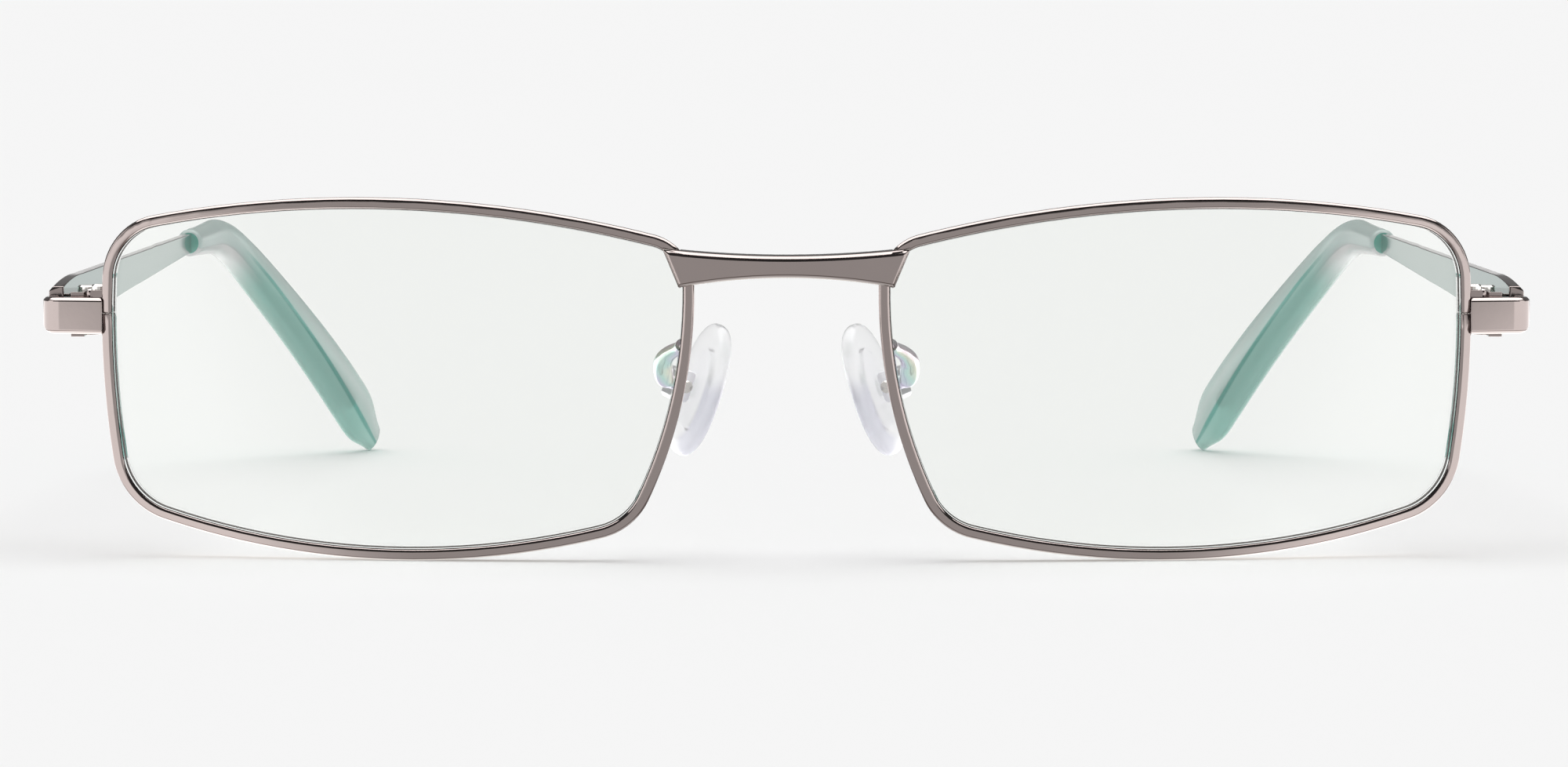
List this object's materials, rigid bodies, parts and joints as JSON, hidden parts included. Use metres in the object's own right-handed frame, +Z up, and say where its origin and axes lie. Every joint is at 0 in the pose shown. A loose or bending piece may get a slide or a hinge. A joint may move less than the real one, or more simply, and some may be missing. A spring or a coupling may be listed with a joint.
{
  "type": "eyeglasses",
  "caption": "Full-rim rectangular metal eyeglasses with spring hinges, rocking nose pads and plastic temple tips.",
  "frame": {"origin": "middle of the footprint of the open pair, on the surface that the rims and tips stand on", "axes": "+X to the wearer's left, +Y from the front towards the ears, +Z up"},
  "size_m": [0.1396, 0.14, 0.0341],
  "materials": {
    "gunmetal": "polished warm grey plating",
    "lens": "clear, polished, faint green reflection",
    "tip_plastic": "translucent teal, polished",
    "silicone": "clear soft silicone",
    "core_plastic": "clear stiff plastic",
    "pad_wire": "polished with a faint pearly sheen",
    "hinge_steel": "bright turned steel",
    "spring_steel": "drawn spring wire",
    "screw_steel": "bright steel",
    "washer_nylon": "natural nylon"
  },
  "bodies": {
    "front": {"bridge": "gunmetal", "left_rim": "gunmetal", "left_lens": "lens", "left_end_piece": "gunmetal", "left_rim_lock_upper": "gunmetal", "left_rim_lock_lower": "gunmetal", "left_rim_screw": "screw_steel", "left_front_hinge": "gunmetal", "left_pad_arm": "pad_wire", "left_pad_cup": "pad_wire", "left_pad_screw": "screw_steel", "right_rim": "gunmetal", "right_lens": "lens", "right_end_piece": "gunmetal", "right_rim_lock_upper": "gunmetal", "right_rim_lock_lower": "gunmetal", "right_rim_screw": "screw_steel", "right_front_hinge": "gunmetal", "right_pad_arm": "pad_wire", "right_pad_cup": "pad_wire", "right_pad_screw": "screw_steel"},
    "left_pin": {"left_hinge_screw": "screw_steel", "left_hinge_washers": "washer_nylon"},
    "left_slider": {"left_hinge_slider": "hinge_steel", "left_slider_nut": "hinge_steel"},
    "left_temple": {"left_temple_arm": "gunmetal", "left_temple_tip": "tip_plastic", "left_hinge_box": "gunmetal", "left_hinge_plug": "hinge_steel", "left_hinge_spring": "spring_steel"},
    "left_pad": {"left_nose_pad": "silicone", "left_pad_core": "core_plastic"},
    "right_pin": {"right_hinge_screw": "screw_steel", "right_hinge_washers": "washer_nylon"},
    "right_slider": {"right_hinge_slider": "hinge_steel", "right_slider_nut": "hinge_steel"},
    "right_temple": {"right_temple_arm": "gunmetal", "right_temple_tip": "tip_plastic", "right_hinge_box": "gunmetal", "right_hinge_plug": "hinge_steel", "right_hinge_spring": "spring_steel"},
    "right_pad": {"right_nose_pad": "silicone", "right_pad_core": "core_plastic"}
  },
  "joints": [
    {"name": "left_fold", "type": "hinge", "parent": "front", "child": "left_pin", "pos_m": [0.06598, -0.05465, 0.02272], "axis": [0, 0, 1], "range_deg": [0, 65]},
    {"name": "left_flex", "type": "hinge", "parent": "left_pin", "child": "left_slider", "pos_m": [0.06598, -0.05465, 0.02272], "axis": [0, 0, 1], "range_deg": [-12, 0], "stiffness_Nm_per_rad": 0.3},
    {"name": "left_spring_slide", "type": "slide", "parent": "left_slider", "child": "left_temple", "axis": [-0.0698, 0.9976, 0], "range_m": [0, 0.000822], "deforming": ["left_hinge_spring"]},
    {"name": "left_pad_rock", "type": "hinge", "parent": "front", "child": "left_pad", "pos_m": [0.00989, -0.05936, 0.01619], "axis": [0.4318, 0.891, 0.1403], "range_deg": [-10, 10]},
    {"name": "right_fold", "type": "hinge", "parent": "front", "child": "right_pin", "pos_m": [-0.06598, -0.05465, 0.02272], "axis": [0, 0, -1], "range_deg": [0, 80]},
    {"name": "right_flex", "type": "hinge", "parent": "right_pin", "child": "right_slider", "pos_m": [-0.06598, -0.05465, 0.02272], "axis": [0, 0, -1], "range_deg": [-12, 0], "stiffness_Nm_per_rad": 0.3},
    {"name": "right_spring_slide", "type": "slide", "parent": "right_slider", "child": "right_temple", "axis": [0.0698, 0.9976, 0], "range_m": [0, 0.000822], "deforming": ["right_hinge_spring"]},
    {"name": "right_pad_rock", "type": "hinge", "parent": "front", "child": "right_pad", "pos_m": [-0.00989, -0.05936, 0.01619], "axis": [0.4318, -0.891, -0.1403], "range_deg": [-10, 10]}
  ],
  "couplings": [
    {"joint": "left_spring_slide", "follows": "left_flex", "m_per_rad": -0.00385},
    {"joint": "right_spring_slide", "follows": "right_flex", "m_per_rad": -0.00385}
  ]
}
